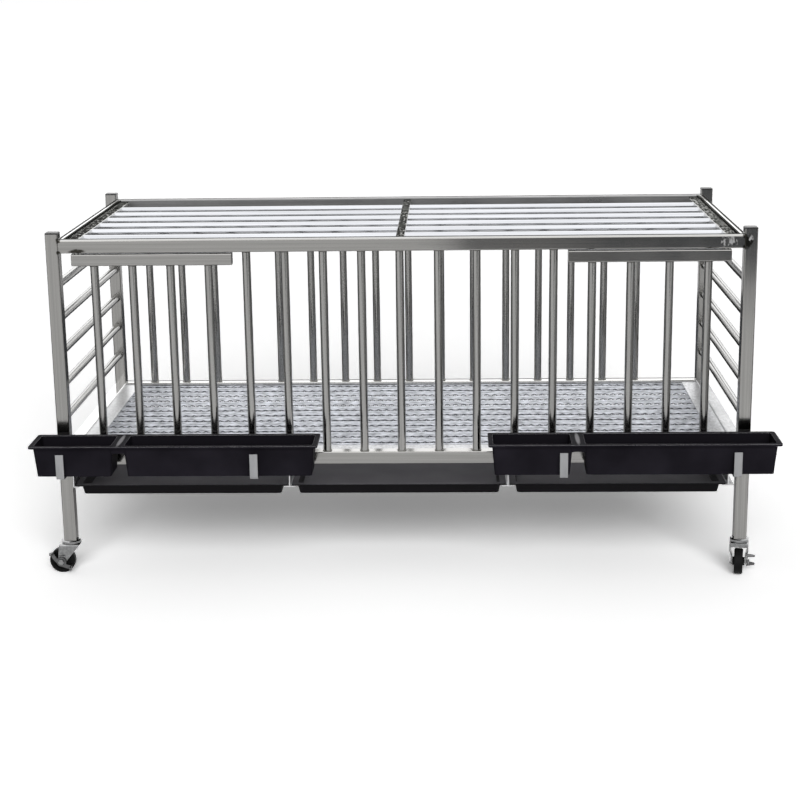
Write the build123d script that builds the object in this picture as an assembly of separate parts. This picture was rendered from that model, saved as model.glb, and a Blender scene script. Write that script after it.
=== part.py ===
from build123d import *
import os

# Overall frame
cage_width = 1200.0
cage_depth = 540.0
post_size = 22.0
tube_wall = 1.2
tube_corner = 2.0
bar_diameter = 14.3
roof_bar_diameter = 12.7
bar_wall = 1.0
post_top = 605.5
cap_thickness = 2.5
cap_corner = 2.5
cap_plug_length = 14.0
cap_plug_gap = 0.2
plug_corner = 1.0
top_rail_top = 595.0
bottom_rail_top = 222.0

# Bars
rear_bar_count = 17
rear_bar_margin = 57.8
fixed_bar_reach = 4
fixed_bar_margin = 24.4
roof_bar_count = 6
side_bar_count = 5
cross_tube = 15.0
cross_tube_wall = 1.0
roof_end_overlap = 5.0
roof_bore_gap = 0.05

# Doors
door_width = 273.0
door_post_gap = 20.5
door_bar_count = 4
door_bar_outer_margin = 37.3
door_bar_inner_margin = 40.6
door_tube = 20.0
door_seam = 2.2
door_foot_gap = 2.5
pivot_inset = 8.0
pivot_diameter = 8.0
pivot_gap = 0.05
pivot_reach = 9.0
pivot_collar = 14.0
door_plug_length = 6.0

# Floor mesh
mesh_pitch = 20.0
mesh_wire = 2.5
mesh_layer_gap = 0.05
mesh_end_strip = 29.0
mesh_front_strip = 32.0
mesh_rear_strip = 5.0
mesh_strip_sheet = 2.0
mesh_drop = 3.0

# Feed troughs
trough_length = 491.5
trough_depth = 83.0
trough_height = 55.0
trough_wall = 2.2
trough_lip = 3.5
trough_rim_width = 6.0
trough_rim_corner = 5.0
trough_short_tub = 136.5
trough_bridge = 18.5
trough_end_draft = 5.0
trough_side_draft = 6.0
trough_corner = 8.0
trough_foot_corner = 4.5
trough_back_gap = 0.5
trough_left_overhang = 31.75
trough_right_overhang = 39.75

# Trough brackets
bracket_width = 13.5
bracket_thickness = 2.0
bracket_front_gap = 0.5
bracket_drop = 1.0
bracket_bend = 3.0
bracket_front_height = 44.0
bracket_back_height = 21.0
bracket_left_insets = {"outer": 22.0, "inner": 352.0}
bracket_right_insets = {"outer": 34.0, "inner": 325.0}

# Droppings trays and their runners
tray_names = ("left", "middle", "right")
tray_end_room = 13.0
runner_sheet = 2.0
runner_flange = 20.0
runner_web_height = 18.0
runner_seat_z = 160.0
runner_end_gap = 2.0
tray_rim_thickness = 2.5
tray_rim_gap = 2.5
tray_body_gap = 2.0
tray_depth = 19.5
tray_wall = 2.0
tray_draft = 4.0
tray_rim_corner = 4.0
tray_corner = 6.0
tray_front_inset = 2.0
tray_stop_gap = 0.5

# Casters
caster_height = 61.0
wheel_diameter = 45.0
wheel_width = 15.2
wheel_chamfer = 2.0
wheel_dish_depth = 3.0
wheel_rim_depth = 7.0
wheel_hub_diameter = 15.0
caster_trail = 17.0
race_diameter = 33.0
race_thickness = 6.0
race_gap = 0.3
kingpin_diameter = 8.0
kingpin_gap = 0.05
kingpin_head_diameter = 14.0
kingpin_head_thickness = 2.0
stem_plug_length = 24.0
stem_plug_gap = 0.2
fork_sheet = 2.3
fork_side_gap = 0.3
fork_width = 33.0
fork_foot_width = 26.0
fork_foot_rise = 10.0
fork_shoulder_rise = 19.0
fork_corner = 3.0
fork_boss_radius = 6.5
fork_back_reach = 17.5
fork_front_reach = 19.0
fork_lip = 5.0
fork_back_skirt = 11.0
axle_diameter = 6.0
axle_gap = 0.05
axle_head_width = 9.0
axle_head_thickness = 2.5
brake_sheet = 2.0
brake_gap = 0.6
brake_band = 6.5
brake_hub_radius = 8.5
brake_tab_reach = 12.5
brake_tab_width = 9.0
brake_tab_tip = 4.0
brake_tab_round = 1.9
brake_upper_tip = (16.5, 17.5)
brake_belly = (1.2, -3.6)
brake_lower_tip = (-18.5, -9.8)
caster_angles = (180.0, -100.0, -90.0, -90.0)

# Places worked out from the sizes above; x and y run from the middle of the overall box
inner_tube = post_size - 2 * tube_wall
half_width = cage_width / 2
inner_half = half_width - post_size
trough_front_reach = trough_back_gap + trough_depth + bracket_thickness
bracket_front_reach = trough_front_reach + bracket_front_gap + bracket_thickness
left_end = max(trough_left_overhang, 0) + half_width
right_end = max(trough_right_overhang, 0) + half_width
shift_x = (left_end - right_end) / 2
trough_left_x = -half_width - trough_left_overhang + trough_length / 2
trough_right_x = half_width + trough_right_overhang - trough_length / 2
tray_pitch = (2 * inner_half - tray_end_room) / len(tray_names)
caster_overhang = max(race_diameter / 2, fork_back_reach) - post_size / 2
rear_reach = cage_depth + caster_overhang
front_y = (bracket_front_reach - rear_reach) / 2
back_y = front_y + cage_depth
front_mid_y = front_y + post_size / 2
back_mid_y = back_y - post_size / 2
inner_front_y = front_y + post_size
inner_back_y = back_y - post_size
side_mid_x = half_width - post_size / 2
top_rail_bottom = top_rail_top - post_size
top_rail_mid_z = top_rail_top - post_size / 2
bottom_rail_bottom = bottom_rail_top - post_size
bottom_rail_mid_z = bottom_rail_top - post_size / 2
trough_bottom = bottom_rail_bottom + bracket_thickness - bracket_drop
trough_top = trough_bottom + trough_height
caster_places = {
    "front_left": (-side_mid_x, front_mid_y, caster_angles[0]),
    "front_right": (side_mid_x, front_mid_y, caster_angles[1]),
    "rear_left": (-side_mid_x, back_mid_y, caster_angles[2]),
    "rear_right": (side_mid_x, back_mid_y, caster_angles[3]),
}

made = {}


def keep(name, *solids):
    """Store one named piece, or a set of identical pieces, moved to the overall middle."""
    made[name] = [Pos(shift_x, 0, 0) * solid for solid in solids]


def block(x0, x1, y0, y1, z0, z1):
    """A plain block between two corners."""
    middle = Pos((x0 + x1) / 2, (y0 + y1) / 2, (z0 + z1) / 2)
    return middle * Box(x1 - x0, y1 - y0, z1 - z0)


def tube_section(tall, wide, wall):
    """Tube section with rounded corners."""
    outer = RectangleRounded(tall, wide, tube_corner)
    return outer - RectangleRounded(tall - 2 * wall, wide - 2 * wall, tube_corner - wall)


def tube_along(direction, start, length, tall=post_size, wide=post_size, wall=tube_wall):
    """Square or flat-sided tube from a start point along X, Y or Z."""
    across = (0, 0, 1) if direction != (0, 0, 1) else (1, 0, 0)
    plane = Plane(origin=start, x_dir=across, z_dir=direction)
    return extrude(plane * tube_section(tall, wide, wall), amount=length)


def rod_along(direction, start, length, diameter):
    """Solid round rod from a start point along X, Y or Z."""
    plane = Plane(origin=start, z_dir=direction)
    return extrude(plane * Circle(diameter / 2), amount=length)


def bar_along(direction, start, length, diameter=bar_diameter):
    """Round tube from a start point along X, Y or Z."""
    plane = Plane(origin=start, z_dir=direction)
    ring = Circle(diameter / 2) - Circle(diameter / 2 - bar_wall)
    return extrude(plane * ring, amount=length)


ALONG_X = (1, 0, 0)
ALONG_Y = (0, 1, 0)
ALONG_Z = (0, 0, 1)


# Posts and their end caps
def make_posts():
    caps = []
    cap_plug = inner_tube - 2 * cap_plug_gap
    for y_name, y in (("front", front_mid_y), ("rear", back_mid_y)):
        for x_name, x in (("left", -side_mid_x), ("right", side_mid_x)):
            length = post_top - caster_height
            keep(f"post_{y_name}_{x_name}", tube_along(ALONG_Z, (x, y, caster_height), length))
            lid = extrude(RectangleRounded(post_size, post_size, cap_corner), cap_thickness)
            lid = chamfer(lid.faces().sort_by(Axis.Z)[-1].edges(), cap_thickness / 3)
            plug = extrude(RectangleRounded(cap_plug, cap_plug, plug_corner), -cap_plug_length)
            caps.append(Pos(x, y, post_top) * (lid + plug))
    keep("post_caps", *caps)


# Front, rear and end rails
def pivot_places():
    """Door name, left end, right end and pivot x of each door."""
    outer = inner_half - door_post_gap
    inner = outer - door_width
    pivot = outer - pivot_inset
    return (("left", -outer, -inner, -pivot), ("right", inner, outer, pivot))


def make_rails():
    long_run = 2 * inner_half
    deep_run = cage_depth - 2 * post_size
    hole = pivot_diameter / 2 + pivot_gap
    front_top = tube_along(ALONG_X, (-inner_half, front_mid_y, top_rail_mid_z), long_run)
    front_low = tube_along(ALONG_X, (-inner_half, front_mid_y, bottom_rail_mid_z), long_run)
    for _, _, _, pivot in pivot_places():
        drill = Pos(pivot, front_mid_y, top_rail_bottom) * Cylinder(hole, 2 * pivot_reach)
        front_top -= drill
        drill = Pos(pivot, front_mid_y, bottom_rail_top) * Cylinder(hole, 2 * pivot_reach)
        front_low -= drill
    keep("top_rail_front", front_top)
    keep("bottom_rail_front", front_low)
    keep("top_rail_rear", tube_along(ALONG_X, (-inner_half, back_mid_y, top_rail_mid_z), long_run))
    keep(
        "bottom_rail_rear",
        tube_along(ALONG_X, (-inner_half, back_mid_y, bottom_rail_mid_z), long_run),
    )
    for name, side in (("left", -1), ("right", 1)):
        start = (side * side_mid_x, inner_front_y, bottom_rail_mid_z)
        keep(f"bottom_rail_{name}", tube_along(ALONG_Y, start, deep_run))


# Roof: a grid of lengthwise bars on three cross tubes, between two end tubes
def roof_bar_places():
    pitch = (cage_depth - 2 * post_size) / (roof_bar_count + 1)
    return [inner_front_y + pitch * (i + 1) for i in range(roof_bar_count)]


def make_roof():
    deep_run = cage_depth - 2 * post_size
    end_x = inner_half + roof_end_overlap - cross_tube / 2
    grid_x = end_x - cross_tube
    bore = roof_bar_diameter / 2 + roof_bore_gap

    def cross(x, tall):
        start = (x, inner_front_y, top_rail_mid_z)
        return tube_along(ALONG_Y, start, deep_run, tall, cross_tube, cross_tube_wall)

    for name, side in (("left", -1), ("right", 1)):
        keep(f"roof_end_tube_{name}", cross(side * end_x, post_size))
        keep(f"roof_grid_tube_{name}", cross(side * grid_x, cross_tube))
    middle = cross(0, cross_tube)
    bars = []
    run = 2 * (grid_x - cross_tube / 2)
    for y in roof_bar_places():
        middle -= rod_along(ALONG_X, (-cross_tube, y, top_rail_mid_z), 2 * cross_tube, 2 * bore)
        start = (-run / 2, y, top_rail_mid_z)
        bars.append(bar_along(ALONG_X, start, run, roof_bar_diameter))
    keep("roof_middle_tube", middle)
    keep("roof_bars", *bars)


# Upright bars of the front and rear walls, and level bars of the ends
def make_wall_bars():
    tall = top_rail_bottom - bottom_rail_top
    deep_run = cage_depth - 2 * post_size

    def upright(x, y):
        return bar_along(ALONG_Z, (x, y, bottom_rail_top), tall)

    doors_apart = pivot_places()[1][1]
    front_pitch = (doors_apart - fixed_bar_margin) / fixed_bar_reach
    fixed = range(-fixed_bar_reach, fixed_bar_reach + 1)
    keep("front_bars", *[upright(i * front_pitch, front_mid_y) for i in fixed])
    first_rear = rear_bar_margin - inner_half
    rear_pitch = -2 * first_rear / (rear_bar_count - 1)
    rear = [first_rear + rear_pitch * i for i in range(rear_bar_count)]
    keep("rear_bars", *[upright(x, back_mid_y) for x in rear])
    level_pitch = tall / (side_bar_count + 1)
    for name, side in (("left", -1), ("right", 1)):
        bars = []
        for i in range(side_bar_count):
            z = bottom_rail_top + level_pitch * (i + 1)
            start = (side * side_mid_x, inner_front_y, z)
            bars.append(bar_along(ALONG_Y, start, deep_run))
        keep(f"side_bars_{name}", *bars)


# Swing doors on upright pivot pins
def make_doors():
    half_tube = door_tube / 2
    upper_z = top_rail_bottom - door_seam - half_tube
    lower_z = bottom_rail_top + door_foot_gap + half_tube
    hole = pivot_diameter / 2 + pivot_gap
    half_plug = half_tube - tube_wall
    bar_run = door_width - door_bar_outer_margin - door_bar_inner_margin
    bar_pitch = bar_run / (door_bar_count - 1)
    for name, start, end, pivot in pivot_places():
        side = -1 if name == "left" else 1
        for level, z in (("top", upper_z), ("bottom", lower_z)):
            tube_start = (start, front_mid_y, z)
            tube = tube_along(ALONG_X, tube_start, end - start, door_tube, door_tube)
            plug_y = (front_mid_y - half_plug, front_mid_y + half_plug)
            for plug_start in (start, end - door_plug_length):
                plug_x = (plug_start, plug_start + door_plug_length)
                tube += block(*plug_x, *plug_y, z - half_plug, z + half_plug)
            tube -= Pos(pivot, front_mid_y, z) * Cylinder(hole, 2 * door_tube)
            keep(f"door_{name}_{level}_tube", tube)
        low = lower_z + half_tube
        tall = upper_z - half_tube - low
        outer_bar = inner_half - door_post_gap - door_bar_outer_margin
        bars = []
        for i in range(door_bar_count):
            x = side * (outer_bar - bar_pitch * i)
            bars.append(bar_along(ALONG_Z, (x, front_mid_y, low), tall))
        keep(f"door_{name}_bars", *bars)
        pin_length = pivot_reach + door_seam + door_tube
        pin_start = (pivot, front_mid_y, upper_z - half_tube)
        upper_pin = rod_along(ALONG_Z, pin_start, pin_length, pivot_diameter)
        pin_length = pivot_reach + door_foot_gap + door_tube
        pin_start = (pivot, front_mid_y, bottom_rail_top - pivot_reach)
        lower_pin = rod_along(ALONG_Z, pin_start, pin_length, pivot_diameter)
        collar_start = (pivot, front_mid_y, bottom_rail_top)
        collar = rod_along(ALONG_Z, collar_start, door_foot_gap, pivot_collar)
        keep(f"door_{name}_pivot_pins", upper_pin, lower_pin + collar)


# Wire floor panel inside the bottom rails
def make_floor():
    strip_top = bottom_rail_top - mesh_drop
    strip_low = strip_top - mesh_strip_sheet
    x_end = inner_half
    y_low = inner_front_y
    y_high = inner_back_y
    strips = block(-x_end, x_end, y_low, y_high, strip_low, strip_top)
    opening_x = (mesh_end_strip - x_end, x_end - mesh_end_strip)
    opening_y = (y_low + mesh_front_strip, y_high - mesh_rear_strip)
    strips -= block(*opening_x, *opening_y, strip_low, strip_top)
    solids = [strips]
    upper_z = strip_low - mesh_wire / 2
    lower_z = upper_z - mesh_wire - mesh_layer_gap
    wide_count = round(2 * x_end / mesh_pitch)
    for i in range(1, wide_count):
        x = -x_end + 2 * x_end * i / wide_count
        solids.append(rod_along(ALONG_Y, (x, y_low, upper_z), y_high - y_low, mesh_wire))
    deep_count = round((y_high - y_low) / mesh_pitch)
    for i in range(1, deep_count):
        y = y_low + (y_high - y_low) * i / deep_count
        solids.append(rod_along(ALONG_X, (-x_end, y, lower_z), 2 * x_end, mesh_wire))
    keep("floor_mesh", *solids)


# Moulded trough: a short tub and a long tub under one rim
def tapered_tub(length, depth, height, inset):
    """Solid tub, wide at its top face on z = 0 and narrowing downwards, all walls moved in by inset."""
    length -= 2 * inset
    depth -= 2 * inset
    foot_length = length - 2 * trough_end_draft
    foot_depth = depth - 2 * trough_side_draft
    mouth = RectangleRounded(length, depth, trough_corner - inset)
    foot = RectangleRounded(foot_length, foot_depth, trough_foot_corner - inset)
    return loft([Pos(0, 0, -height) * foot, mouth])


def make_trough():
    rim = extrude(RectangleRounded(trough_length, trough_depth, trough_rim_corner), -trough_lip)
    inner_length = trough_length - 2 * trough_wall
    inner_depth = trough_depth - 2 * trough_wall
    rim_corner = trough_rim_corner - trough_wall
    hollow = extrude(RectangleRounded(inner_length, inner_depth, rim_corner), -trough_lip)
    rim -= Pos(0, 0, -trough_wall) * hollow
    body_length = trough_length - 2 * trough_rim_width
    body_depth = trough_depth - 2 * trough_rim_width
    long_tub = body_length - trough_bridge - trough_short_tub
    start = -body_length / 2
    tubs = (
        (start + trough_short_tub / 2, trough_short_tub),
        (-start - long_tub / 2, long_tub),
    )
    whole = rim
    for x, length in tubs:
        whole += Pos(x, 0, 0) * tapered_tub(length, body_depth, trough_height, 0)
    inner_height = trough_height - trough_wall
    for x, length in tubs:
        whole -= Pos(x, 0, 0) * tapered_tub(length, body_depth, inner_height, trough_wall)
    return whole


def make_troughs():
    y = front_y - bracket_thickness - trough_back_gap - trough_depth / 2
    for name, x in (("left", trough_left_x), ("right", trough_right_x)):
        keep(f"trough_{name}", Pos(x, y, trough_top) * make_trough())


# Bent strips that carry the troughs
def make_brackets():
    back = front_y
    front = front_y - bracket_front_reach
    low = trough_bottom - bracket_thickness
    path = [
        (back, low + bracket_back_height),
        (back, low),
        (front, low),
        (front, low + bracket_front_height),
    ]
    outer = bracket_bend + bracket_thickness
    for side, sign, insets in (("left", -1, bracket_left_insets), ("right", 1, bracket_right_insets)):
        for position, inset in insets.items():
            x = sign * (half_width - inset)
            plane = Plane(origin=(x - bracket_width / 2, 0, 0), x_dir=ALONG_Y, z_dir=ALONG_X)
            outside = Polygon(*path, align=None)
            corners = outside.vertices().sort_by(Axis.Y)[:2]
            outside = fillet(corners, outer)
            inside = Polygon(
                (back - bracket_thickness, low + bracket_front_height + outer),
                (back - bracket_thickness, low + bracket_thickness),
                (front + bracket_thickness, low + bracket_thickness),
                (front + bracket_thickness, low + bracket_front_height + outer),
                align=None,
            )
            inside = fillet(inside.vertices().sort_by(Axis.Y)[:2], bracket_bend)
            strip = extrude(plane * (outside - inside), amount=bracket_width, dir=ALONG_X)
            keep(f"trough_bracket_{side}_{position}", strip)


# Runners hung under the bottom rails, and the trays that slide on them
def runner_places():
    return [-inner_half + tray_pitch * i for i in range(len(tray_names) + 1)]


def make_runners():
    seat = runner_seat_z
    half = runner_sheet / 2
    web_top = seat + runner_web_height
    start = front_y + runner_end_gap
    end = back_y - runner_end_gap
    stop = inner_back_y
    names = ("left", "middle_left", "middle_right", "right")
    for name, x in zip(names, runner_places()):
        if name == "left":
            web = (x, x + runner_sheet)
            flange = (x, x + runner_flange / 2)
        else:
            web = (x - half, x + half)
            flange = (x - runner_flange / 2, x + runner_flange / 2)
        rail = block(*flange, start, end, seat - runner_sheet, seat)
        rail += block(*web, start, end, seat - half, web_top)
        rail += block(*web, start, inner_front_y, web_top - half, bottom_rail_bottom)
        rail += block(*web, inner_back_y, end, web_top - half, bottom_rail_bottom)
        rail += block(*flange, stop, stop + runner_sheet, seat - half, web_top)
        keep(f"tray_runner_{name}", rail)


def make_trays():
    length = inner_back_y - tray_stop_gap - front_y - tray_front_inset
    rim_width = tray_pitch - runner_sheet - 2 * tray_rim_gap
    body_width = tray_pitch - runner_flange - 2 * tray_body_gap
    rim_overlap = (rim_width - body_width) / 2
    body_length = length - 2 * rim_overlap
    middle_y = front_y + tray_front_inset + length / 2
    floor_width = body_width - 2 * tray_draft
    floor_length = body_length - 2 * tray_draft

    def tub(inset, depth, corner):
        mouth = RectangleRounded(body_width - 2 * inset, body_length - 2 * inset, corner)
        foot = RectangleRounded(floor_width - 2 * inset, floor_length - 2 * inset, corner)
        return loft([Pos(0, 0, -depth) * foot, mouth])

    for i, name in enumerate(tray_names):
        places = runner_places()
        x = (places[i] + places[i + 1]) / 2
        rim = extrude(RectangleRounded(rim_width, length, tray_rim_corner), -tray_rim_thickness)
        tray = rim + tub(0, tray_depth, tray_corner)
        tray -= tub(tray_wall, tray_depth - tray_wall, tray_corner - tray_wall)
        keep(f"tray_{name}", Pos(x, middle_y, runner_seat_z + tray_rim_thickness) * tray)


# Swivel casters with a side rocker brake; local x points along the trail
axle_z = wheel_diameter / 2
race_bottom = caster_height - race_thickness
crown_top = race_bottom - race_gap
crown_bottom = crown_top - fork_sheet
leg_outer = fork_foot_width / 2
leg_inner = leg_outer - fork_sheet
hub_half = leg_inner - fork_side_gap
brake_face = leg_outer + brake_gap + brake_sheet


def caster_stem():
    """Fixed race, kingpin and the plug that fills the foot of the post."""
    plug = inner_tube - 2 * stem_plug_gap
    stem = extrude(Pos(0, 0, race_bottom) * Circle(race_diameter / 2), race_thickness)
    stem = chamfer(stem.faces().sort_by(Axis.Z)[-1].edges(), race_thickness / 3)
    foot = Pos(0, 0, caster_height) * RectangleRounded(plug, plug, plug_corner)
    stem += extrude(foot, stem_plug_length)
    head_low = crown_bottom - race_gap - kingpin_head_thickness
    pin_start = (0, 0, head_low)
    stem += rod_along(ALONG_Z, pin_start, race_bottom - head_low, kingpin_diameter)
    stem += rod_along(ALONG_Z, pin_start, kingpin_head_thickness, kingpin_head_diameter)
    return stem


def side_plane(y):
    """Sketch plane seen from the brake side, local x and z."""
    return Plane(origin=(0, y, 0), x_dir=ALONG_X, z_dir=(0, -1, 0))


def fork_profile(inset, low):
    """Filled front view of the fork, all walls moved in by inset, down to the height low."""
    half = fork_width / 2 - inset
    foot_half = leg_outer - inset
    right = [
        (half, crown_top - inset),
        (half, axle_z + fork_shoulder_rise),
        (foot_half, axle_z + fork_foot_rise),
        (foot_half, low),
    ]
    left = [(-y, z) for y, z in reversed(right)]
    profile = Polygon(*right, *left, align=None)
    return fillet(profile.vertices().sort_by(Axis.Y)[-2:], fork_corner - inset)


def caster_fork():
    """Pressed shell: a crown, two legs that close in on the axle, a front lip and a sloping back."""
    crown_edge = Polyline((-fork_back_reach, crown_top), (fork_front_reach, crown_top))
    boss = Pos(caster_trail, axle_z) * Circle(fork_boss_radius)
    outline = make_hull([*crown_edge.edges(), *boss.edges()])
    low = axle_z - 2 * fork_boss_radius
    length = fork_back_reach + caster_trail + 2 * fork_boss_radius
    end_plane = Plane(origin=(-fork_back_reach, 0, 0), x_dir=ALONG_Y, z_dir=ALONG_X)
    section = fork_profile(0, low) - fork_profile(fork_sheet, low)
    shell = extrude(end_plane * section, length, dir=ALONG_X)
    half = fork_width / 2
    fork = shell & extrude(side_plane(half) * outline, fork_width, dir=(0, -1, 0))
    inner_half_width = half - fork_sheet
    lip_back = fork_front_reach - fork_sheet
    sides = (-inner_half_width, inner_half_width)
    fork += block(lip_back, fork_front_reach, *sides, crown_bottom - fork_lip, crown_bottom)
    skirt = outline - Pos(fork_sheet, 0) * outline
    skirt &= Pos(0, crown_bottom - fork_back_skirt / 2) * Rectangle(length, fork_back_skirt)
    skirt &= Pos(-fork_back_reach, crown_bottom) * Rectangle(2 * fork_back_reach, length)
    fork += extrude(side_plane(inner_half_width) * skirt, 2 * inner_half_width, dir=(0, -1, 0))
    hole = axle_diameter / 2 + axle_gap
    fork -= rod_along(ALONG_Y, (caster_trail, -half, axle_z), fork_width, 2 * hole)
    bore = kingpin_diameter / 2 + kingpin_gap
    return fork - rod_along(ALONG_Z, (0, 0, crown_bottom - fork_sheet), 3 * fork_sheet, 2 * bore)


def caster_axle():
    """Bolt through the legs, wheel and brake, with its nut."""
    inner_end = -leg_outer
    nut_face = brake_face + brake_gap
    shank = nut_face + axle_head_thickness - inner_end
    bolt = rod_along(ALONG_Y, (0, inner_end, 0), shank, axle_diameter)
    hexagon = RegularPolygon(axle_head_width / 2, 6, major_radius=False)
    for outer_y in (inner_end, nut_face + axle_head_thickness):
        bolt += extrude(side_plane(outer_y) * hexagon, axle_head_thickness, dir=(0, -1, 0))
    return Pos(caster_trail, 0, axle_z) * bolt


def caster_wheel():
    """One-piece moulded wheel with a dished web."""
    r = wheel_diameter / 2
    half = wheel_width / 2
    bore = axle_diameter / 2 + axle_gap
    hub = wheel_hub_diameter / 2
    rim = r - wheel_rim_depth
    dish = half - wheel_dish_depth
    right = [
        (bore, hub_half),
        (hub, hub_half),
        (hub, dish),
        (rim, dish),
        (rim, half),
        (r - wheel_chamfer, half),
        (r, half - wheel_chamfer),
    ]
    left = [(x, -z) for x, z in reversed(right)]
    wheel = revolve(Plane.XZ * Polygon(*right, *left, align=None), Axis.Z)
    return Pos(caster_trail, 0, axle_z) * Rot(90, 0, 0) * wheel


def caster_brake():
    """Rocker plate on the axle with two leaf-shaped foot tabs turned outwards."""
    spine = ThreePointArc(brake_upper_tip, brake_belly, brake_lower_tip)
    plate = trace(spine, brake_band) + Circle(brake_hub_radius)
    plate -= Circle(axle_diameter / 2 + axle_gap)
    rocker = extrude(side_plane(brake_face) * plate, brake_sheet, dir=(0, -1, 0))
    reach = brake_tab_reach + brake_sheet
    for at, inward in ((0, 1), (1, -1)):
        tip = spine @ at
        turn = spine % at * inward
        place = Plane(
            origin=(tip.X, brake_face - brake_sheet, tip.Y),
            x_dir=ALONG_Y,
            z_dir=(turn.X, 0, turn.Y),
        )
        root = brake_tab_width / 2
        end = brake_tab_tip / 2
        tab = Polygon((0, -root), (reach, -end), (reach, end), (0, root), align=None)
        tab = fillet(tab.vertices().sort_by(Axis.X)[-2:], brake_tab_round)
        rocker += extrude(place * tab, brake_sheet)
    return Pos(caster_trail, 0, axle_z) * rocker


def make_casters():
    stems = []
    for name, (x, y, angle) in caster_places.items():
        place = Pos(x, y, 0) * Rot(0, 0, angle)
        stems.append(Pos(x, y, 0) * caster_stem())
        keep(f"caster_{name}_fork", place * caster_fork())
        keep(f"caster_{name}_axle", place * caster_axle())
        keep(f"caster_{name}_wheel", place * caster_wheel())
        keep(f"caster_{name}_brake", place * caster_brake())
    keep("caster_stems", *stems)


def main():
    make_posts()
    make_rails()
    make_roof()
    make_wall_bars()
    make_doors()
    make_floor()
    make_troughs()
    make_brackets()
    make_runners()
    make_trays()
    make_casters()
    os.makedirs("parts", exist_ok=True)
    for name, solids in made.items():
        shape = solids[0] if len(solids) == 1 else Compound(children=list(solids))
        export_step(shape, f"parts/{name}.step")


main()
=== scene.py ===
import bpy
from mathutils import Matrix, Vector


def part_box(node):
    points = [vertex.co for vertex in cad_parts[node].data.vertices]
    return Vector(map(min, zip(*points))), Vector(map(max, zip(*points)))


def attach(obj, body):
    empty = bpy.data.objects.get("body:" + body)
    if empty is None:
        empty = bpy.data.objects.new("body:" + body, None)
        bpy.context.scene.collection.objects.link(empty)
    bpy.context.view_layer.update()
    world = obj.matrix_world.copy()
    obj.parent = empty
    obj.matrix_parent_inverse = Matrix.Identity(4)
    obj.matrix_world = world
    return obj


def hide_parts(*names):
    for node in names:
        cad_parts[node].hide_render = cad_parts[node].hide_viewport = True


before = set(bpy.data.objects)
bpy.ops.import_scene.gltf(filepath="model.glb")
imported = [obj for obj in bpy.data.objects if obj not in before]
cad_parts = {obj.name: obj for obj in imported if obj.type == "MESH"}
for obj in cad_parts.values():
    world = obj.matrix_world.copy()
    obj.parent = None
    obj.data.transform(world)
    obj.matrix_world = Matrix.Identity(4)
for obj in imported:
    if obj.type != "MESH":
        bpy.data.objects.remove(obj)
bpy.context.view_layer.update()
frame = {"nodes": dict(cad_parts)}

import fnmatch
import math

import bpy
from mathutils import Matrix, Vector

nodes = frame["nodes"]
MM = 0.001
SIDES = ("left", "right")
X = Vector((1, 0, 0))
Y = Vector((0, 1, 0))
Z = Vector((0, 0, 1))
WHITE = (1, 1, 1, 1)


# Node helpers
def new_tree(name):
    material = bpy.data.materials.new(name)
    material.use_nodes = True
    material.node_tree.nodes.clear()
    return material, material.node_tree


def is_output(value):
    return isinstance(value, bpy.types.NodeSocket)


def feed(tree, socket, value):
    """Link another node's output to a socket, or set the socket's own value."""
    if is_output(value):
        tree.links.new(value, socket)
    else:
        socket.default_value = value


def put(tree, kind, inputs=None, **props):
    """A new node with its properties and inputs set."""
    node = tree.nodes.new(kind)
    for key, value in props.items():
        setattr(node, key, value)
    for key, value in (inputs or {}).items():
        feed(tree, node.inputs[key], value)
    return node


def maths(tree, operation, *values):
    return put(tree, "ShaderNodeMath", dict(enumerate(values)), operation=operation).outputs[0]


def larger(tree, one, two):
    return maths(tree, "MAXIMUM", one, two)


def vector_maths(tree, operation, *values):
    return put(tree, "ShaderNodeVectorMath", dict(enumerate(values)), operation=operation)


def coordinate(tree, output):
    return put(tree, "ShaderNodeTexCoord").outputs[output]


def along(tree, vector, axis):
    """One number of a vector: 0 along X, 1 along Y, 2 along Z."""
    return put(tree, "ShaderNodeSeparateXYZ", {0: vector}).outputs[axis]


def from_middle(tree, vector, middle):
    """How far a vector lies from a middle along X."""
    return maths(tree, "ABSOLUTE", maths(tree, "SUBTRACT", along(tree, vector, 0), middle))


def spread(tree, value, low, high, start=0.3, end=0.7):
    """A value between start and end, most of a noise if not given, made to run from low to high."""
    inputs = {"Value": value, "From Min": start, "From Max": end, "To Min": low, "To Max": high}
    return put(tree, "ShaderNodeMapRange", inputs).outputs["Result"]


def noise(tree, cells, detail=3.0):
    """Noise over the object's own place, with its cells per metre along each axis."""
    place = vector_maths(tree, "MULTIPLY", coordinate(tree, "Object"), cells).outputs[0]
    inputs = {"Vector": place, "Scale": 1.0, "Detail": detail}
    return put(tree, "ShaderNodeTexNoise", inputs).outputs["Fac"]


def two_tone(tree, fac, first, second):
    """A colour from the first to the second, each an output or three numbers."""
    mix = put(tree, "ShaderNodeMix", {0: fac}, data_type="RGBA")
    colour_a, colour_b, colour_result = mix.inputs[6], mix.inputs[7], mix.outputs[2]
    for socket, colour in ((colour_a, first), (colour_b, second)):
        feed(tree, socket, colour if is_output(colour) else (*colour, 1))
    return colour_result


def spots(tree, places, breakup):
    """1 inside ragged ellipsoids round each centre, given with their reach along each axis."""
    fade_start, fade_end = 1.1, 1.7
    where = coordinate(tree, "Object")
    total = None
    for centre, reach in places:
        offset = vector_maths(tree, "SUBTRACT", where, centre).outputs[0]
        shares = tuple(1 / r for r in reach)
        offset = vector_maths(tree, "MULTIPLY", offset, shares).outputs[0]
        far = vector_maths(tree, "LENGTH", offset).outputs["Value"]
        far = maths(tree, "ADD", far, breakup)
        inside = spread(tree, far, 1.0, 0.0, fade_start, fade_end)
        total = inside if total is None else larger(tree, total, inside)
    return total


def soft_edge(tree, radius):
    return put(tree, "ShaderNodeBevel", {"Radius": radius}, samples=4).outputs[0]


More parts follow.
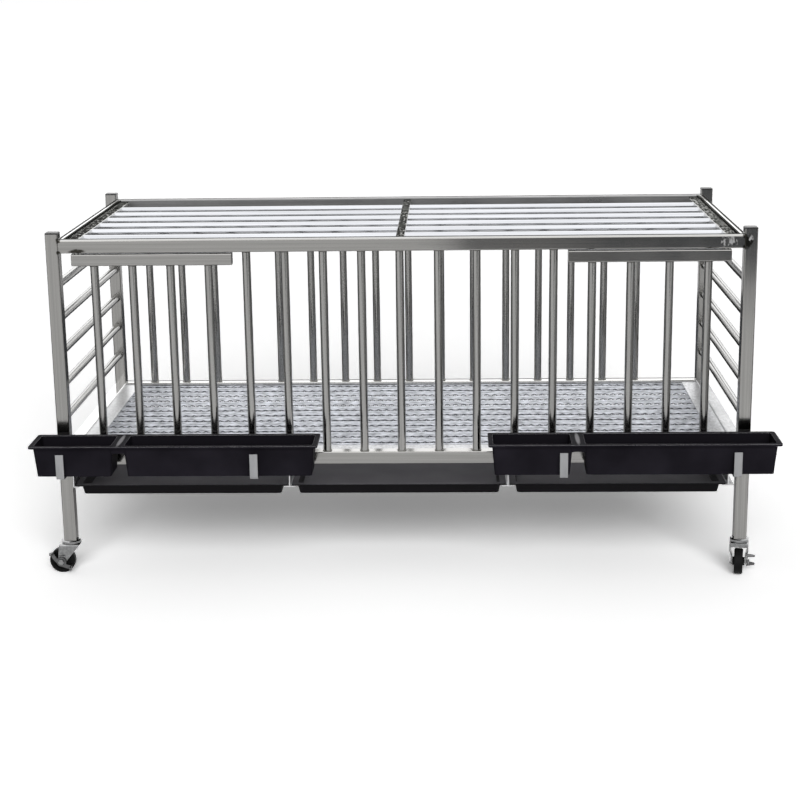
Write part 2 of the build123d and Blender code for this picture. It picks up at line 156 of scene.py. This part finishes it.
def bumped(tree, strength, distance, height, normal=None):
    inputs = {"Strength": strength, "Distance": distance, "Height": height}
    if normal is not None:
        inputs["Normal"] = normal
    return put(tree, "ShaderNodeBump", inputs).outputs[0]


def finish_surface(tree, **inputs):
    """End a material in a principled shader; the names of its inputs have _ for a space."""
    inputs = {key.replace("_", " "): value for key, value in inputs.items()}
    surface = put(tree, "ShaderNodeBsdfPrincipled", inputs)
    put(tree, "ShaderNodeOutputMaterial", {"Surface": surface.outputs[0]})


# Materials: cells are noise cells per metre, glances are tints at a grazing look
STEEL_CLOUD_CELLS = (9.0, 9.0, 9.0)
STEEL_ROUGH_RANGE = (0.8, 1.3)
LINE_DEPTH = 0.1 * MM
STAIN = (0.035, 0.033, 0.028)
STAIN_CELLS = (170.0, 170.0, 170.0)
STAIN_BREAKUP = (0.0, 0.7)
SCUFF = (0.3, 0.3, 0.3)
SCUFF_CELLS = (330.0, 330.0, 190.0)
SCUFF_BREAKUP = (-0.3, 1.5)
SCUFF_METAL = 0.1
# Tones of darkened steel: painted shade on most finishes, a darker top on the roof's grid and
# middle tubes
DIM_DARK = (0.045, 0.048, 0.043)
DIM_LIGHT = (0.14, 0.144, 0.135)
DIM_GLANCE = (0.1, 0.1, 0.096)
DIM_CELLS = 60.0
DIM_RANGE = (0.35, 0.65)
SPECK = (0.2, 0.2, 0.195)
SPECK_GLANCE = (0.5, 0.5, 0.49)
SPECK_CELLS = (250.0, 70.0, 250.0)
SPECK_FADE = 0.1
PLASTIC_CLOUD_CELLS = (14.0, 14.0, 14.0)
PLASTIC_TONE_RANGE = (0.75, 1.4)
PLASTIC_ROUGH_RANGE = (0.88, 1.12)
PLASTIC_EDGE = 1.1 * MM
PLASTIC_RELIEF = 0.2
PLASTIC_GRAIN_DEPTH = 0.15 * MM
# Painted shade inside the troughs
SHADE_SHARE = 0.75
SHADE_FADE = 5 * MM
EDGE_LEAN = (0.2, 0.45)
TOP_LEAN = (0.93, 0.99)
CREST_BREAKUP = (0.0, 0.5)


def steel(
    name, tone, rough, grain, mottle=0.16, edge=1.0, marks=(), bright=(), dimmed=None,
    specks=None, soft=0.0, relief=0.12
):
    """Polished metal with drawn lines.

    grain gives the lines' cells, mottle how much they differ in tone and relief how far they
    stand out. edge is the share mirrored at a grazing look, marks are dark places and bright are
    scuffed ones. dimmed makes the mask of what is darkened: painted shade on the backs of the
    rails' tops, the door tubes' ends, the end tubes' edges and the right side bars' undersides,
    and a darker top on the roof's grid and middle tubes, with the more pale specks the lower
    specks is. soft rounds the edges.
    """
    material, tree = new_tree(name)
    lines = noise(tree, grain)
    cloud = noise(tree, STEEL_CLOUD_CELLS)
    dark = tuple((1 - mottle) * c for c in tone)
    light = tuple((1 + mottle / 2) * c for c in tone)
    colour = two_tone(tree, spread(tree, lines, 0.0, 1.0), dark, light)
    tint = (edge, edge, edge, 1)
    metal = 1.0
    if marks:
        ragged = spread(tree, noise(tree, STAIN_CELLS), *STAIN_BREAKUP)
        colour = two_tone(tree, spots(tree, marks, ragged), colour, STAIN)
    if bright:
        ragged = spread(tree, noise(tree, SCUFF_CELLS), *SCUFF_BREAKUP)
        scuffed = spots(tree, bright, ragged)
        colour = two_tone(tree, scuffed, colour, SCUFF)
        metal = spread(tree, scuffed, 1.0, SCUFF_METAL, 0.0, 1.0)
    # Darkened where the mask is 1: painted shade on rails, door tubes, end tubes and right side
    # bars, a darker top on the roof's grid and middle tubes
    if dimmed:
        place = dimmed(tree)
        cells = tuple(min(DIM_CELLS, g) for g in grain)
        patch = spread(tree, noise(tree, cells), 0.0, 1.0, *DIM_RANGE)
        patch = two_tone(tree, patch, DIM_DARK, DIM_LIGHT)
        glance = DIM_GLANCE
        if specks is not None:
            pale = spread(tree, noise(tree, SPECK_CELLS), 0.0, 1.0, specks, specks + SPECK_FADE)
            patch = two_tone(tree, pale, patch, SPECK)
            glance = two_tone(tree, pale, glance, SPECK_GLANCE)
        colour = two_tone(tree, place, colour, patch)
        tint = two_tone(tree, place, (edge, edge, edge), glance)
    rounded = soft_edge(tree, soft) if soft else None
    finish_surface(
        tree,
        Base_Color=colour,
        Metallic=metal,
        Roughness=spread(tree, cloud, *(rough * share for share in STEEL_ROUGH_RANGE)),
        Specular_Tint=tint,
        Normal=bumped(tree, relief, LINE_DEPTH, lines, rounded),
    )
    return material


def plastic(name, tone, rough, grain, shine, highlight_tone=None, highlight_all_tops=False, shade_from=None, crests=()):
    """Moulded plastic, fine spark-eroded grain, paler clouds and a painted highlight on upper
    edges.

    Where highlight_all_tops is set, all of what looks up gets the edges' painted sheen. Behind the
    depth shade_from it is darker as painted shade. crests are places where a highlight is painted.
    """
    material, tree = new_tree(name)
    fine = noise(tree, (grain, grain, grain), detail=2.0)
    cloud = noise(tree, PLASTIC_CLOUD_CELLS, detail=4.0)
    dark, light = (tuple(share * c for c in tone) for share in PLASTIC_TONE_RANGE)
    colour = two_tone(tree, spread(tree, cloud, 0.0, 1.0), dark, light)
    rounded = soft_edge(tree, PLASTIC_EDGE)
    # Painted shade behind the depth, on the troughs' insides
    if shade_from is not None:
        deep = along(tree, coordinate(tree, "Object"), 1)
        inside_shade = tuple(SHADE_SHARE * c for c in tone)
        colour = two_tone(tree, spread(tree, deep, 0.0, 1.0, shade_from, shade_from + SHADE_FADE), colour, inside_shade)
    # Painted highlight along upper edges, on all tops where asked, and on the crests
    if highlight_tone is not None:
        lean = along(tree, rounded, 2)
        highlit = spread(tree, lean, 0.0, 1.0, *EDGE_LEAN)
        if not highlight_all_tops:
            highlit = maths(tree, "MULTIPLY", highlit, spread(tree, lean, 1.0, 0.0, *TOP_LEAN))
        if crests:
            ragged = spread(tree, fine, *CREST_BREAKUP)
            highlit = larger(tree, highlit, spots(tree, crests, ragged))
        colour = two_tone(tree, highlit, colour, highlight_tone)
    finish_surface(
        tree,
        Base_Color=colour,
        Roughness=spread(tree, cloud, *(rough * share for share in PLASTIC_ROUGH_RANGE)),
        Specular_IOR_Level=shine,
        Normal=bumped(tree, PLASTIC_RELIEF, PLASTIC_GRAIN_DEPTH, fine, rounded),
    )
    return material


# Tones, line directions and places; a mark is its centre and its reach along each axis
TONE = (0.29, 0.286, 0.277)
BRIGHT_TONE = (0.6, 0.6, 0.59)
BAR_TONE = (0.25, 0.248, 0.242)
ALONG = {"x": (3.0, 420.0, 420.0), "y": (420.0, 3.0, 420.0), "z": (420.0, 420.0, 3.0)}
EVEN = (200.0, 200.0, 200.0)
ROLLED = (260.0, 90.0, 260.0)
BAR_RELIEF = 0.03
STRIP_EDGE = 0.5 * MM
CASTER_EDGE = 0.6 * MM
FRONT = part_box("top_rail_front")[0].y
# Dark spots along the front rail's lower edge
RAIL_MARKS = [
    ((-0.5506, FRONT, 0.5765), (0.0125, 0.006, 0.0032)),
    ((0.5206, FRONT, 0.5725), (0.0125, 0.006, 0.0025)),
    ((0.3187, FRONT, 0.573), (0.008, 0.006, 0.002)),
]
CORNER_MARKS = [
    ((x, FRONT, z), (0.0032, 0.004, 0.0034))
    for x in (-0.582, 0.574)
    for z in (0.5745, 0.5945, 0.2015, 0.2215)
]
RAIL_SCUFFS = [
    ((0.5395, FRONT, 0.585), (0.0035, 0.006, 0.007)),
    ((0.5525, FRONT, 0.5845), (0.0075, 0.006, 0.006)),
]
POST_MARKS = CORNER_MARKS + [((0.579, FRONT, 0.584), (0.0075, 0.004, 0.01))]
POST_SCUFFS = [((0.584, FRONT, 0.59), (0.003, 0.006, 0.006))]
END_TUBES = [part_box(f"roof_end_tube_{side}") for side in SIDES]
MIDDLE = (END_TUBES[0][0].x + END_TUBES[1][1].x) / 2
END_TUBE_X = (END_TUBES[1][0].x + END_TUBES[1][1].x) / 2 - MIDDLE
TROUGHS = [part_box(f"trough_{side}") for side in SIDES]
TROUGH_MIDDLE = (TROUGHS[0][0].y + TROUGHS[0][1].y) / 2
# Behind this depth the troughs' insides are darker as painted shade
TROUGH_SHADE_FROM = TROUGH_MIDDLE + 10 * MM
# From a trough's left end to the middle of the bridge between its tubs
BRIDGE = 151.75 * MM
# Painted highlights on the crests of the bridges between the tubs
TROUGH_CRESTS = [
    ((low.x + BRIDGE, TROUGH_MIDDLE, high.z), (3 * MM, 29 * MM, 3 * MM)) for low, high in TROUGHS
]


# Masks
def upper_side(tree, start=0.5, end=0.8):
    """1 on what looks up."""
    lean = along(tree, coordinate(tree, "Normal"), 2)
    return spread(tree, lean, 0.0, 1.0, start, end)


def under_side(tree):
    """1 on what looks down or sideways, where shade is painted on the right side bars."""
    lean = along(tree, coordinate(tree, "Normal"), 2)
    return spread(tree, lean, 1.0, 0.0, start=0.1, end=0.55)


def tube_edges(tree):
    """1 along both edges of the top of the roof's end tubes, where shade is painted as dark lines.
    """
    far = from_middle(tree, coordinate(tree, "Object"), MIDDLE)
    off = maths(tree, "ABSOLUTE", maths(tree, "SUBTRACT", far, END_TUBE_X))
    beside = spread(tree, off, 0.0, 1.0, start=1.3 * MM, end=2.3 * MM)
    return maths(tree, "MULTIPLY", beside, upper_side(tree, start=0.05, end=0.3))


def tube_ends(tree):
    """1 on the closed ends of a lengthwise tube, where shade is painted."""
    lean = from_middle(tree, coordinate(tree, "Normal"), 0.0)
    return spread(tree, lean, 0.0, 1.0, start=0.7, end=0.9)


def back_of(name, depth=10 * MM):
    """A mask that is 1 on a rail's top behind a depth, where shade is painted along the top's back.
    """
    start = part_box(name)[0].y + depth
    fade = 4 * MM

    def mask(tree):
        deep = along(tree, coordinate(tree, "Object"), 1)
        behind = spread(tree, deep, 0.0, 1.0, start, start + fade)
        return maths(tree, "MULTIPLY", behind, upper_side(tree))

    return mask


# Finishes
tube = steel("steel_tube", TONE, 0.12, ALONG["x"], edge=0.9)
# This rail and the two rear rails below get painted shade along the backs of their tops
rail = steel(
    "steel_rail", TONE, 0.11, ALONG["x"], edge=0.62, marks=RAIL_MARKS + CORNER_MARKS,
    bright=RAIL_SCUFFS, dimmed=back_of("top_rail_front")
)
rear_rail = steel(
    "steel_rear_rail", (0.18, 0.18, 0.18), 0.32, ALONG["x"], edge=0.9,
    dimmed=back_of("top_rail_rear")
)
back_rail = steel(
    "steel_back_rail", (0.45, 0.448, 0.44), 0.16, ALONG["x"], edge=0.9,
    dimmed=back_of("bottom_rail_rear", depth=13 * MM)
)
left_rail = steel("steel_left_rail", (0.55, 0.55, 0.546), 0.14, ALONG["y"])
right_rail = steel("steel_right_rail", (0.27, 0.272, 0.276), 0.3, ROLLED, mottle=0.3)
# The door tubes' closed ends are darkened as painted shade
door_tube = steel("steel_door_tube", TONE, 0.12, ALONG["x"], edge=0.9, dimmed=tube_ends)
post = steel(
    "steel_post", TONE, 0.13, ALONG["z"], edge=0.6, marks=POST_MARKS, bright=POST_SCUFFS
)
# The end tubes get painted shade as dark lines along both edges of their tops
end_tube = steel("steel_end_tube", (0.5, 0.5, 0.49), 0.16, ALONG["y"], dimmed=tube_edges)
left_bar = steel("steel_bar_left", BAR_TONE, 0.15, ALONG["y"], edge=0.9, relief=BAR_RELIEF)
# The right side bars are darkened below and at the sides as painted shade; the left ones are not
right_bar = steel(
    "steel_bar_right", BAR_TONE, 0.15, ALONG["y"], edge=0.9, dimmed=under_side, relief=BAR_RELIEF
)
roof_bar = steel("steel_bar_roof", (0.39, 0.397, 0.415), 0.15, ALONG["x"], relief=BAR_RELIEF)
upright_bar = steel(
    "steel_bar_upright", (0.315, 0.312, 0.304), 0.15, ALONG["z"], relief=BAR_RELIEF
)
# The roof's grid and middle tubes are darker on top, mottled and with pale specks
dark_topped = steel("steel_scorched", BRIGHT_TONE, 0.25, EVEN, dimmed=upper_side, specks=0.53)
flecked = steel("steel_flecked", BRIGHT_TONE, 0.25, EVEN, dimmed=upper_side, specks=0.48)
weld = steel(
    "steel_weld", (0.2, 0.195, 0.185), 0.3, (500.0, 500.0, 500.0), mottle=0.5, edge=0.5
)
strip = steel("steel_strip", (0.31, 0.312, 0.32), 0.3, (60.0, 60.0, 20.0), soft=STRIP_EDGE)
runner = steel("steel_runner", (0.58, 0.58, 0.585), 0.3, (60.0, 20.0, 60.0), soft=STRIP_EDGE)
zinc = steel("caster_zinc", (0.24, 0.242, 0.244), 0.22, EVEN, mottle=0.3, soft=CASTER_EDGE)
brake = steel(
    "brake_zinc", (0.12, 0.12, 0.122), 0.3, EVEN, mottle=0.3, edge=0.6, soft=CASTER_EDGE
)
wire = steel("floor_wire", (0.54, 0.556, 0.594), 0.36, (60.0, 110.0, 60.0), mottle=0.55)
# The binders are near black as painted shade in the weave
wire_dark = steel("floor_wire_dark", (0.05, 0.053, 0.06), 0.36, EVEN)
sheet = steel("floor_strip", (0.49, 0.494, 0.505), 0.34, ROLLED, mottle=0.3, edge=0.7)
pale_sheet = steel("floor_strip_pale", (0.58, 0.584, 0.59), 0.34, ROLLED, edge=0.7)
# The troughs get painted highlights on their lips and bridge crests and painted shade inside
black = plastic(
    "trough_plastic", (0.0098, 0.0089, 0.0118), 0.45, 2600.0, 0.005, highlight_tone=(0.26, 0.256, 0.268),
    shade_from=TROUGH_SHADE_FROM, crests=TROUGH_CRESTS
)
# The trays get a painted sheen on all that looks up
tray = plastic(
    "tray_plastic", (0.0034, 0.003, 0.0038), 0.46, 1900.0, 0.07, highlight_tone=(0.095, 0.091, 0.1),
    highlight_all_tops=True
)
cap = plastic("cap_plastic", (0.012, 0.012, 0.012), 0.4, 3000.0, 0.3)
tread = plastic("wheel_plastic", (0.0045, 0.0045, 0.0047), 0.42, 2600.0, 0.06)

# Where two patterns fit a name, the later one counts
FINISHES = {
    "post_*": post,
    "post_caps": cap,
    "top_rail_front": rail,
    "top_rail_rear": rear_rail,
    "bottom_rail_front": tube,
    "bottom_rail_rear": back_rail,
    "bottom_rail_left": left_rail,
    "bottom_rail_right": right_rail,
    "roof_end_tube_*": end_tube,
    "roof_grid_tube_left": dark_topped,
    "roof_grid_tube_right": flecked,
    "roof_middle_tube": dark_topped,
    "roof_bars": roof_bar,
    "front_bars": upright_bar,
    "rear_bars": upright_bar,
    "side_bars_left": left_bar,
    "side_bars_right": right_bar,
    "door_*": upright_bar,
    "door_*_tube": door_tube,
    "trough_*": black,
    "trough_bracket_*": strip,
    "tray_*": tray,
    "tray_runner_*": runner,
    "caster_*": zinc,
    "caster_*_wheel": tread,
    "caster_*_brake": brake,
}
for pattern, finish in FINISHES.items():
    for name in fnmatch.filter(nodes, pattern):
        for slot in nodes[name].material_slots:
            slot.material = finish


# Mesh builder
class Shape:
    """Points, faces and a material number for each face."""

    def __init__(self):
        self.verts = []
        self.faces = []
        self.kinds = []

    def wire(self, points, radius, sides, across, kind=0, closed=False):
        """A round wire along points.

        across is the pair of directions of its section; it and radius can be a list, one for each
        point.
        """
        first = len(self.verts)
        for i, point in enumerate(points):
            one, two = across[i] if isinstance(across, list) else across
            size = radius[i] if isinstance(radius, list) else radius
            for k in range(sides):
                turn = 2 * math.pi * k / sides
                out = math.cos(turn) * one + math.sin(turn) * two
                self.verts.append(Vector(point) + size * out)
        count = len(points)
        for i in range(count if closed else count - 1):
            low = first + i * sides
            high = first + (i + 1) % count * sides
            for k in range(sides):
                after = (k + 1) % sides
                self.faces.append((low + k, low + after, high + after, high + k))
                self.kinds.append(kind)

    def plate(self, low, high, kind):
        """A thin plate between two corners."""
        first = len(self.verts)
        outline = ((low[0], low[1]), (high[0], low[1]), (high[0], high[1]), (low[0], high[1]))
        for z in (low[2], high[2]):
            for x, y in outline:
                self.verts.append(Vector((x, y, z)))
        level = ((3, 2, 1, 0), (4, 5, 6, 7))
        upright = ((0, 1, 5, 4), (1, 2, 6, 5), (2, 3, 7, 6), (3, 0, 4, 7))
        for quad in level + upright:
            self.faces.append(tuple(first + i for i in quad))
            self.kinds.append(kind)

    def piece(self, name, body, slot, materials, flat=()):
        """The shape as a piece that rides on a body; kinds in flat are not smoothed."""
        mesh = bpy.data.meshes.new(name)
        mesh.from_pydata(self.verts, [], self.faces)
        for material in materials:
            mesh.materials.append(material)
        mesh.polygons.foreach_set("material_index", self.kinds)
        mesh.polygons.foreach_set("use_smooth", [kind not in flat for kind in self.kinds])
        piece = bpy.data.objects.new(name, mesh)
        bpy.context.scene.collection.objects.link(piece)
        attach(piece, body)
        return piece


# Woven floor: wires from front to back under wires from end to end, of which every seventh is a
# crimped binder painted near black as shade in the weave, and flat edge strips
def make_mesh_floor():
    plain, crimped, edging, pale_edging = range(4)
    low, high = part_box("floor_mesh")
    radius = 0.85 * MM
    binder = 0.9 * MM
    wave = 1.4 * MM
    sway = 0.9 * MM
    wire_sides = 6
    binder_sides = 5
    side_strip, front_strip, back_strip = 29 * MM, 32 * MM, 5 * MM
    strip_depth = 1.8 * MM
    lap = MM
    upper = high.z - binder - wave
    lower = upper - 2 * radius
    x0, x1 = low.x + side_strip, high.x - side_strip
    y0, y1 = low.y + front_strip, high.y - back_strip
    across = 142
    deep = 84
    binder_each = 7
    binder_first = 4
    steps = 4
    shape = Shape()
    for i in range(across + 1):
        x = x0 + (x1 - x0) * i / across
        ends = [(x, y0 - lap, lower), (x, y1 + lap, lower)]
        shape.wire(ends, radius, wire_sides, (X, Z), plain)
    for j in range(1, deep):
        y = y0 + (y1 - y0) * j / deep
        if j % binder_each != binder_first:
            ends = [(x0 - lap, y, upper), (x1 + lap, y, upper)]
            shape.wire(ends, radius, wire_sides, (Y, Z), plain)
            continue
        points = []
        for i in range(steps * across + 1):
            x = x0 + (x1 - x0) * i / (steps * across)
            turn = math.pi * (i / steps + j // binder_each)
            points.append((x, y + sway * math.sin(turn), upper + wave * math.cos(turn)))
        shape.wire(points, binder, binder_sides, (Y, Z), crimped)
    under = high.z - strip_depth
    shape.plate((low.x, low.y, under), (high.x, y0, high.z), edging)
    shape.plate((low.x, y1, under), (high.x, high.y, high.z), edging)
    shape.plate((low.x, y0, under), (x0, y1, high.z), pale_edging)
    shape.plate((x1, y0, under), (high.x, y1, high.z), edging)
    finishes = (wire, wire_dark, sheet, pale_sheet)
    flat = (edging, pale_edging)
    piece = shape.piece("floor_weave", "frame", "mesh_wire", finishes, flat=flat)
    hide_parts("floor_mesh")


# Weld beads round the bar ends
BEAD_INSET = 0.5 * MM
BEAD_GAP = 0.15 * MM
BEAD_SIZE = 0.95
BEAD_SWELL = 0.25
BEAD_RIPPLES = 5
BEAD_SIDES = 5


def ring(shape, centre, one, two, radius, ripple):
    """A bead round a bar whose section lies along one and two; ripple turns its ripples."""
    count = 24
    points, across, sizes = [], [], []
    for k in range(count):
        turn = 2 * math.pi * k / count
        out = math.cos(turn) * one + math.sin(turn) * two
        points.append(Vector(centre) + radius * out)
        across.append((out, one.cross(two)))
        sizes.append((BEAD_SIZE + BEAD_SWELL * math.sin(BEAD_RIPPLES * turn + ripple)) * MM)
    shape.wire(points, sizes, BEAD_SIDES, across, closed=True)


def bar_centres(low, high, count, axis):
    """Middles of evenly spaced round bars that fill a box along an axis."""
    radius = min(high - low) / 2
    first = low[axis] + radius
    step = (high[axis] - radius - first) / (count - 1)
    return [first + step * i for i in range(count)]


def bead_upright_bars(shape, name, radius, count):
    low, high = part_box(name)
    for x in bar_centres(low, high, count, 0):
        for z in (low.z + BEAD_INSET, high.z - BEAD_INSET):
            ring(shape, (x, (low.y + high.y) / 2, z), X, Y, radius, ripple=40 * x)


def bead_side_bars(shape, name, radius, count):
    low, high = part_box(name)
    for z in bar_centres(low, high, count, 2):
        for y in (low.y + BEAD_INSET, high.y - BEAD_INSET):
            ring(shape, ((low.x + high.x) / 2, y, z), X, Z, radius, ripple=70 * z)


def make_welds():
    low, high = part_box("front_bars")
    radius = min(high - low) / 2 + BEAD_GAP
    shape = Shape()
    bead_upright_bars(shape, "front_bars", radius, count=9)
    bead_upright_bars(shape, "rear_bars", radius, count=17)
    for side in SIDES:
        bead_side_bars(shape, f"side_bars_{side}", radius, count=5)
    shape.piece("frame_welds", "frame", "polished_steel", (weld,))
    for side in SIDES:
        shape = Shape()
        bead_upright_bars(shape, f"door_{side}_bars", radius, count=4)
        shape.piece(f"door_{side}_welds", f"door_{side}", "polished_steel", (weld,))


# Arched web that joins the two tubs of a trough under its front lip
def make_trough_web(side):
    low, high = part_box(f"trough_{side}")
    middle = low.x + BRIDGE
    count = 12
    top = high.z - 3.4 * MM
    bottom = high.z - 14 * MM
    foot = 1.8 * MM
    reach = 11.8 * MM
    thickness = 2.2 * MM
    front = low.y + 9.2 * MM
    back = front + thickness
    shape = Shape()
    for y in (front, back):
        for i in range(count + 1):
            across = 2 * i / count - 1
            shape.verts.append(Vector((middle + across * reach, y, bottom - foot * across**4)))
        for i in range(count + 1):
            shape.verts.append(Vector((middle + (1 - 2 * i / count) * reach, y, top)))
    size = 2 * count + 2
    shape.faces.append(tuple(range(size)))
    shape.faces.append(tuple(reversed(range(size, 2 * size))))
    for i in range(size):
        after = (i + 1) % size
        shape.faces.append((after, i, size + i, size + after))
    shape.kinds = [0] * len(shape.faces)
    shape.piece(f"trough_{side}_web", f"trough_{side}", "black_plastic", (black,), flat=(0,))


make_mesh_floor()
make_welds()
for side in SIDES:
    make_trough_web(side)


# Floor, light and camera; a sheet of the studio is its two corners, as x and y of each
STUDIO_HALF = 60
STUDIO_SHEETS = [(-STUDIO_HALF, -STUDIO_HALF, STUDIO_HALF, STUDIO_HALF)]
SKY_LEVEL = 0.27
WHITE_LEVEL = 1.0
FLOOR_PAPER = 0.93
FLOOR_BRIGHT = 1.5
FLOOR_GLOW = 0.06
CLOTH_HEIGHT = 2 * MM
DARK_CLOTH = (0.19, 0.2, 0.215)
DARK_SHEETS = [(0.1, -30, 0.19, -2.65), (0.62, -30, 9, -3.1), (-9, 0.9, 9, 2.4)]
GREY_CLOTH = (0.5, 0.5, 0.5)
GREY_SHEETS = [(0.19, -30, 0.62, -2.65), (0.95, -2, 9, 0.9), (-9, -1.2, -0.95, 0.9)]


def light_path_white(tree, shaded, white):
    """Camera and mirror rays see the white shader, the rest see the shaded one."""
    path = put(tree, "ShaderNodeLightPath")
    seen = larger(tree, path.outputs["Is Camera Ray"], path.outputs["Is Glossy Ray"])
    return put(tree, "ShaderNodeMixShader", {0: seen, 1: shaded, 2: white}).outputs[0]


def make_world():
    world = bpy.data.worlds.new("studio")
    bpy.context.scene.world = world
    world.use_nodes = True
    tree = world.node_tree
    tree.nodes.clear()
    soft, white = (
        put(tree, "ShaderNodeBackground", {"Color": WHITE, "Strength": level}).outputs[0]
        for level in (SKY_LEVEL, WHITE_LEVEL)
    )
    put(tree, "ShaderNodeOutputWorld", {"Surface": light_path_white(tree, soft, white)})


def flat_card(name, sheets, z, material):
    """Level sheets of the studio as one mesh."""
    mesh = bpy.data.meshes.new(name)
    corners = []
    for x0, y0, x1, y1 in sheets:
        corners += [(x0, y0, z), (x1, y0, z), (x1, y1, z), (x0, y1, z)]
    mesh.from_pydata(corners, [], [tuple(range(i, i + 4)) for i in range(0, len(corners), 4)])
    mesh.materials.append(material)
    card = bpy.data.objects.new(name, mesh)
    bpy.context.scene.collection.objects.link(card)
    return card


def make_floor():
    material, tree = new_tree("studio_floor")
    paper, bright = (
        put(tree, "ShaderNodeBsdfDiffuse", {"Color": (grey, grey, grey, 1)}).outputs[0]
        for grey in (FLOOR_PAPER, FLOOR_BRIGHT)
    )
    glow = put(tree, "ShaderNodeEmission", {"Color": WHITE, "Strength": FLOOR_GLOW}).outputs[0]
    lit = put(tree, "ShaderNodeAddShader", {0: bright, 1: glow}).outputs[0]
    put(tree, "ShaderNodeOutputMaterial", {"Surface": light_path_white(tree, paper, lit)})
    flat_card("studio_floor", STUDIO_SHEETS, 0, material)


def make_flag(name, colour, sheets):
    """Cloth round the cage and behind the camera, seen only in the steel's mirror."""
    material, tree = new_tree(name)
    cloth = put(tree, "ShaderNodeBsdfDiffuse", {"Color": (*colour, 1)}).outputs[0]
    put(tree, "ShaderNodeOutputMaterial", {"Surface": cloth})
    flag = flat_card(name, sheets, CLOTH_HEIGHT, material)
    flag.visible_camera = False
    flag.visible_diffuse = False
    flag.visible_shadow = False


def make_sun():
    """Broad light from the front, left out of the steel's mirror."""
    sun = bpy.data.lights.new("front_sky", "SUN")
    sun.energy = 2.8
    sun.angle = math.radians(40)
    lamp = bpy.data.objects.new("front_sky", sun)
    rise = math.radians(27)
    lean = -0.12
    aim = Vector((lean, math.cos(rise), -math.sin(rise)))
    lamp.rotation_euler = aim.to_track_quat("-Z", "Y").to_euler()
    lamp.visible_glossy = False
    bpy.context.scene.collection.objects.link(lamp)


def make_ceiling():
    """A ceiling seen only in the steel's mirror."""
    span = 60.0
    height = 4.5
    glow = 1.3
    area = bpy.data.lights.new("ceiling_reflector", "AREA")
    area.shape = "SQUARE"
    area.size = span
    area.energy = math.pi * span * span * glow
    lamp = bpy.data.objects.new("ceiling_reflector", area)
    lamp.location = (0.0, 0.0, height)
    lamp.visible_camera = False
    lamp.visible_diffuse = False
    bpy.context.scene.collection.objects.link(lamp)


def make_camera():
    """The camera that was fitted to the photo."""
    pitch = math.radians(14.186)
    yaw = math.radians(-1.944)
    roll = math.radians(-0.772)
    flat = math.cos(pitch)
    ahead = Vector((math.sin(yaw) * flat, math.cos(yaw) * flat, -math.sin(pitch)))
    right = Vector((math.cos(yaw), -math.sin(yaw), 0))
    up = right.cross(ahead)
    side = right * math.cos(roll) + up * math.sin(roll)
    top = up * math.cos(roll) - right * math.sin(roll)
    place = Matrix((side, top, -ahead)).transposed().to_4x4()
    place.translation = Vector((0.09039, -3.07024, 1.03279))
    data = bpy.data.cameras.new("photo_camera")
    data.sensor_width = 36.0
    data.lens = 76.68
    camera = bpy.data.objects.new("photo_camera", data)
    camera.matrix_world = place
    bpy.context.scene.collection.objects.link(camera)
    bpy.context.scene.camera = camera


make_world()
make_floor()
make_flag("dark_cloth", DARK_CLOTH, DARK_SHEETS)
make_flag("grey_cloth", GREY_CLOTH, GREY_SHEETS)
make_sun()
make_ceiling()
make_camera()
bpy.context.scene.view_settings.view_transform = "Standard"
